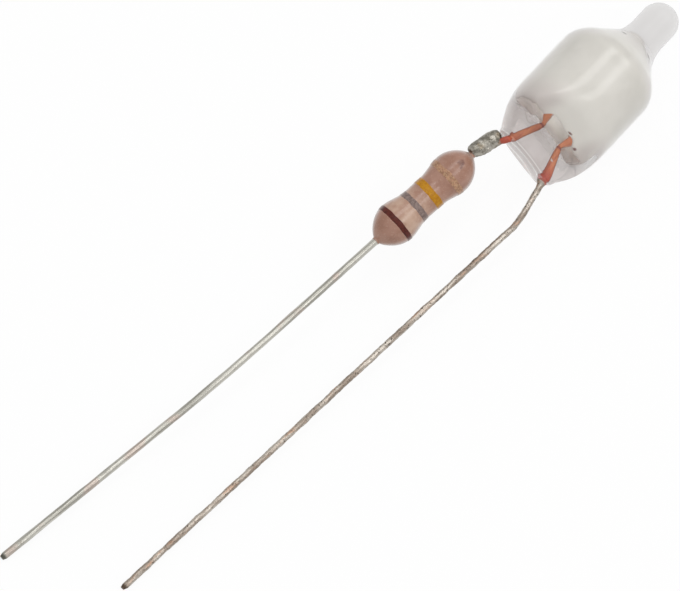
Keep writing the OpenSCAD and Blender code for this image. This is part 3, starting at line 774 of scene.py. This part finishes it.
def lamp_wire(name, route, radii, cut_length, exit_swell, finish, node, seed):
    """A lamp wire: beaded at its weld, thick with oxide at the seal's face, and lumpy with old tinning outside."""
    line = routed(route, radii, 0.07)
    length = sum((b - a).length for a, b in zip(line, line[1:]))
    sealed = sum((b - a).length for a, b in zip(route[:4], route[1:4]))

    def radius_at(gone):
        swell = 1 + 0.14 * smooth(gone, 1.0, 1.4) * (1 - smooth(gone, sealed - 0.1, sealed + 0.3))
        swell += exit_swell * smooth(gone, sealed - 2.3, sealed - 0.3) * (1 - smooth(gone, sealed - 0.25, sealed))
        bead = 0.45 * (1 - smooth(gone, 0.35, 0.85))
        necked = 0.22 * smooth(gone, 0.7, 0.95) * (1 - smooth(gone, 1.0, 1.6))
        sheared = 0.35 * smooth(gone, length - cut_length, length)
        return WIRE_D / 2 * swell * (1 + bead - necked) * (1 - sheared)

    bm = swept(line, radius_at, 16)
    outside = [v for v in bm.verts if v.co.x < -0.1]
    roughen(bm, outside, 0.030, 3.1, seed, (0.45, 1, 1))
    roughen(bm, outside, 0.012, 9.0, seed + 5)
    settle(bm, name, STAND, finish, "lamp_wire", node, crease=50)


def make_solder(finish):
    """The lump over the lap, thickest at its bulb end, rough and pitted."""
    foot = on_series(0.0) + lap_offset * 0.70
    head = on_series(BODY_START + 0.05) - lap_offset * 0.4
    length = (head - foot).length
    roundness = 2.4
    profile = []
    for t in steps(0, 1, 90):
        r = 0.42 + 0.045 * smooth(t, 0.0, 0.35) - 0.11 * smooth(t, 0.5, 1.0)
        ends = min(1.0, t / 0.16, (1 - t) / 0.12)
        profile.append((t * length, r * (1 - (1 - ends) ** roundness) ** (1 / roundness)))
    bm = bmesh.new()
    body = spun(bm, profile, 96)
    roughen(bm, body, 0.055, 1.6, 3.0)
    roughen(bm, body, 0.022, 5.2, 9.0)
    for v in bm.verts:
        pit = noise.voronoi(v.co * 3.4)[0][0]
        v.co -= v.normal * 0.03 * (1 - smooth(pit, 0.05, 0.32))
    bmesh.ops.smooth_vert(bm, verts=bm.verts, factor=0.4, use_axis_x=True, use_axis_y=True, use_axis_z=True)
    place = STAND @ Matrix.Translation(foot) @ turn_to(head - foot).to_matrix().to_4x4()
    settle(bm, "solder_lump", place, finish, "solder", "solder_joint")


def coat_radius(x):
    """The lacquered body's radius at x from its bulb end."""
    end = min(x, BODY_L - x)
    if end < CREST_X:
        dome = COAT_D / 2 * max(0.0, 1 - (1 - end / CREST_X) ** 2) ** 0.75
        return max(RESISTOR_WIRE_D / 2 + 0.03, dome)
    return WAIST_D / 2 + (COAT_D - WAIST_D) / 4 * (1 + cos(pi * min(1.0, (end - CREST_X) / FALL_L)))


def sag(co):
    """How far the wet lacquer ran in or out at a place on the body."""
    return 0.045 * noise.noise(Vector((co.x * 0.55, co.y * 0.5, co.z * 0.5)) + Vector((7, 0, 0)))


def drape(verts):
    """Lets a turned form of the body sag, but not where the leads come out."""
    for v in verts:
        out = Vector((0, v.co.y, v.co.z))
        if out.length > 0.3:
            v.co += out.normalized() * sag(v.co) * smooth(out.length, 0.3, 0.8)


def make_coat(finish):
    """The resistor's lacquered body."""
    ends = [CREST_X * (1 - cos(t)) for t in steps(0, pi / 2, 26)]
    stations = ends + steps(CREST_X, BODY_L - CREST_X, 50, first=False)[:-1] + [BODY_L - x for x in reversed(ends)]
    profile = [(0, 0)] + [(x, coat_radius(x)) for x in stations] + [(BODY_L, 0)]
    bm = bmesh.new()
    drape(spun(bm, profile, 112))
    settle(bm, "lacquered_body", series_place(BODY_START), finish, "lacquer", "resistor_coat", crease=60)


def make_ring(name, from_lead_end, width, finish, slot, node, seed):
    """One painted ring, slightly proud of the lacquer, uneven at its edges and leaning a little."""
    low, high = BODY_L - from_lead_end - width / 2, BODY_L - from_lead_end + width / 2
    top = [(x, coat_radius(x) + 0.014) for x in steps(low + 0.03, high - 0.03, 8)]
    profile = [(low, coat_radius(low) - 0.03), (low, coat_radius(low) + 0.004), *top,
               (high, coat_radius(high) + 0.004), (high, coat_radius(high) - 0.03)]
    bm = bmesh.new()
    ring = spun(bm, profile, 112, closed=True)
    middle = (low + high) / 2
    for v in ring:
        around = Vector((0, v.co.y, v.co.z)).normalized()
        rise = hypot(v.co.y, v.co.z) - coat_radius(v.co.x)
        side = (v.co.x - middle) / (width / 2)
        v.co.x += 0.035 * side * noise.fractal(around * 2.2 + Vector((seed + side, 0, 0)), 1.0, 2.0, 4)
        v.co.x += 0.03 * noise.noise(around * 0.9 + Vector((seed * 2.0, 1, 0)))
        v.co.x += RING_LEAN * coat_radius(middle) * (0.98 * around.y - 0.2 * around.z - 1)
        v.co = Vector((v.co.x, 0, 0)) + around * (coat_radius(v.co.x) + rise)
    drape(ring)
    settle(bm, name, series_place(BODY_START), finish, slot, node, crease=60)


def make_resistor_leads(finish, tip):
    """The lead that ends in the solder, and the long one, which runs to its cut end at tip."""
    in_body = 0.9
    inner = routed([on_series(1.05), on_series(BODY_START + in_body)], [], 0.06)
    bm = swept(inner, lambda gone: RESISTOR_WIRE_D / 2, 20)
    roughen(bm, bm.verts, 0.010, 4.0, 2.0)
    settle(bm, "inner_tinned_lead", STAND, finish, "tinned_wire", "inner_resistor_lead", crease=50)

    outer = routed([on_series(BODY_START + BODY_L - in_body), on_series(LEAD_BEND_X), tip], [LEAD_BEND_R], 0.08)
    length = sum((b - a).length for a, b in zip(outer, outer[1:]))

    def radius_at(gone):
        return RESISTOR_WIRE_D / 2 * (1 - 0.3 * smooth(gone, length - 0.22, length))

    bm = swept(outer, radius_at, 20)
    roughen(bm, bm.verts, 0.018, 3.0, 4.0, (0.12, 1, 1))
    settle(bm, "outer_tinned_lead", STAND, finish, "tinned_wire", "outer_resistor_lead", crease=50)


def dress(node, finish):
    """Gives a solid that stays as it is its own finish."""
    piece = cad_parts[node]
    piece.data.materials.clear()
    piece.data.materials.append(finish)


# ---- The lamp ----

# Small smears, each with its place, its run, half its length and half its width.
# The two neck marks are painted shade at the neck's outline.
neck_shade_marks = ((on_neck(8.95, -0.775), Vector((0.05, -0.95, 0.3)), 0.27, 0.10),
              (on_neck(8.96, 1.13), Vector((-0.35, -0.45, -0.5)), 0.30, 0.10))
edge_run = Vector((-0.10, -0.9, -0.3))
edge_marks = ((facing(2.66, 0.79, 0.87), edge_run, 0.27, 0.07), (facing(2.38, 1.62, 0.31), edge_run, 0.20, 0.10))
wire_pale_flecks = ((facing(1.16, 1.02, -0.28), Vector((0.3, 0.9, 0.3)), 0.18, 0.07),)
lacquer_smears = ((series_place(BODY_START) @ Vector((1.05, 1.07, -0.16)), series_run, 0.27, 0.22),
                  (series_place(BODY_START) @ Vector((1.23, 1.07, -0.36)), series_run, 0.14, 0.10))

make_bulb(blown_glass(neck_shade_marks))
make_coating(powder_coating("powder_coating", (0.82, 0.806, 0.75), (0.89, 0.877, 0.823), (0.75, 0.73, 0.67),
                            0.27, edge_marks),
             powder_coating("powder_inside", (0.95, 0.94, 0.935), (0.97, 0.965, 0.96), (0.92, 0.91, 0.90), 0.5))

long_exit = in_seal(EXIT_X, -1, EXIT_REACH)
long_fall = fall_to_floor(long_exit.z, SPLAY_L + LONG_L, WIRE_D / 2)
long_bend = long_exit + run_back(-SPLAY_ANGLE, long_fall) * SPLAY_L
long_tip = long_bend + run_back(LONG_PLAN, long_fall) * LONG_L
lamp_wire("long_lamp_wire", inside_route(-1) + [long_bend, long_tip], [0.3, 0.3, 0.8, 4.0], 0.25, 0.6,
          lamp_wire_finish(BULB_FOOT.x, BULB_FOOT.x + long_tip.x, (0.86, 0.32, 0.14), wire_pale_flecks),
          "long_lamp_lead", 1.0)

# The short wire is red as far as the solder, and its cut end is hidden in it.
into_solder = [on_series(0.62) + lap_offset * 0.85, on_series(1.1) + lap_offset * 0.6]
lamp_wire("short_lamp_wire", inside_route(1) + into_solder, [0.3, 0.3, 0.3, 0.3], 0.1, 0.06,
          lamp_wire_finish(BULB_FOOT.x - 0.5, BULB_FOOT.x - 30, (0.70, 0.25, 0.10)), "short_lamp_lead", 2.0)

make_solder(rough_solder())
series_tip = on_series(LEAD_BEND_X) + run_back(SERIES_PLAN + LEAD_TURN, series_fall) * LEAD_END_L
make_resistor_leads(bright_tinning(series_run, BULB_FOOT.x + series_tip.x), series_tip)
make_coat(salmon_lacquer(lacquer_smears))
make_ring("maroon_ring", 1.36, 0.31, band_paint("maroon_paint", (0.105, 0.021, 0.014), (0.065, 0.014, 0.010)),
          "brown_paint", "brown_band", 1.0)
make_ring("grey_ring", 2.8, 0.37, band_paint("slate_paint", (0.24, 0.178, 0.16), (0.155, 0.11, 0.097)),
          "grey_paint", "grey_band", 2.0)
make_ring("amber_ring", 3.9, 0.45, band_paint("amber_paint", (0.47, 0.218, 0.010), (0.38, 0.16, 0.007)),
          "yellow_paint", "yellow_band", 3.0)
make_ring("gilt_ring", 5.2, 0.37,
          band_paint("gilt_paint", (0.44, 0.24, 0.15), (0.25, 0.135, 0.085), scale=5.0, mottle=0.16, metallic=0.1,
                     rough=0.42, flecks=(0.60, 0.41, 0.24)),
          "gold_paint", "gold_band", 4.0)

# The pieces out of sight keep the solids' forms.
nickel, steel = drawn_nickel(), pressed_steel()
for node, finish in (("short_side_electrode", nickel), ("long_side_electrode", nickel), ("inner_end_cap", steel),
                     ("outer_end_cap", steel), ("resistor_core", fired_ceramic())):
    dress(node, finish)


# ---- Studio ----

def white_card():
    """A white surface that reads as plain white behind the lamp and still takes its soft shadow."""
    f = Finish("white_card")
    path = f.node("LightPath")
    seen = f.greater(f.greater(path["Is Camera Ray"], path["Is Glossy Ray"]), path["Is Transmission Ray"])
    lit = f.node("BsdfDiffuse", {"Color": (0.86, 0.86, 0.86, 1)})["BSDF"]
    glow = f.node("Emission", {"Color": (1, 1, 1, 1), "Strength": 1.0})["Emission"]
    return f.done(f.node("MixShader", {0: f.times(seen, 0.92), 1: lit, 2: glow})["Shader"])


def lay_floor():
    """A wide white floor."""
    bm = bmesh.new()
    bmesh.ops.create_grid(bm, x_segments=1, y_segments=1, size=4.0)
    mesh = bpy.data.meshes.new("floor")
    bm.to_mesh(mesh)
    bm.free()
    mesh.materials.append(white_card())
    floor = add("floor", mesh)


def light_room():
    """A pale room, lighter overhead than at its walls, and even where it is seen through the glass."""
    world = bpy.data.worlds.new("pale_room")
    bpy.context.scene.world = world
    world.use_nodes = True
    tree = world.node_tree
    tree.nodes.clear()
    way, height, shade, path, through, back, out = (
        tree.nodes.new("ShaderNode" + kind)
        for kind in ("TexCoord", "SeparateXYZ", "MapRange", "LightPath", "Mix", "Background", "OutputWorld"))
    for source, target in ((way.outputs["Generated"], height.inputs[0]),
                           (height.outputs["Z"], shade.inputs["Value"]),
                           (path.outputs["Is Transmission Ray"], through.inputs["Factor"]),
                           (shade.outputs["Result"], through.inputs["A"]),
                           (through.outputs["Result"], back.inputs["Strength"]),
                           (back.outputs[0], out.inputs[0])):
        tree.links.new(source, target)
    for key, value in (("From Min", 0.0), ("From Max", 0.9), ("To Min", 0.80), ("To Max", 1.05)):
        shade.inputs[key].default_value = value
    through.inputs["B"].default_value = 0.95


def hang_lamp(name, direction):
    """A long soft box in a direction from the lamp's middle, its long side along X."""
    distance, length, width, watts = 0.7, 0.8, 0.20, 1.0
    data = bpy.data.lights.new(name, "AREA")
    data.shape = "RECTANGLE"
    data.size, data.size_y = length, width
    data.energy = watts
    back = Vector(direction).normalized()
    side = (Vector((1, 0, 0)) - back * back.x).normalized()
    turn = Matrix((side, back.cross(side), back)).transposed().to_4x4()
    add(name, data).matrix_world = Matrix.Translation(back * distance) @ turn


def aim_camera():
    """Looks down steeply on the lamp from beyond its leads, as the photograph does."""
    pixels_per_mm, distance, sensor = 18.33, 400.0, 36.0
    wide, high = 680, 591
    exit_px = (524.3, 159.1)
    elevation, rise = radians(62), radians(46.6)
    turn = -atan(tan(rise) / sin(elevation))
    back = Vector((sin(turn) * cos(elevation), -cos(turn) * cos(elevation), sin(elevation)))
    right = Vector((cos(turn), sin(turn), 0))
    up = back.cross(right)
    target = BULB_FOOT + Vector((0, 0, BULB_R))
    target += right * (wide / 2 - exit_px[0]) / pixels_per_mm + up * (exit_px[1] - high / 2) / pixels_per_mm
    data = bpy.data.cameras.new("camera")
    data.sensor_width = sensor
    data.lens = pixels_per_mm * distance * sensor / wide
    data.clip_start, data.clip_end = 0.05, 20.0
    camera = add("camera", data)
    place = Matrix((right, up, back)).transposed().to_4x4()
    place.translation = (target + back * distance) * MM
    camera.matrix_world = place
    bpy.context.scene.camera = camera


lay_floor()
light_room()
hang_lamp("overhead_strip", (0.36, 0.052, 0.93))
hang_lamp("front_strip", (0.36, -0.535, 0.764))
aim_camera()
bpy.context.scene.view_settings.view_transform = "Standard"
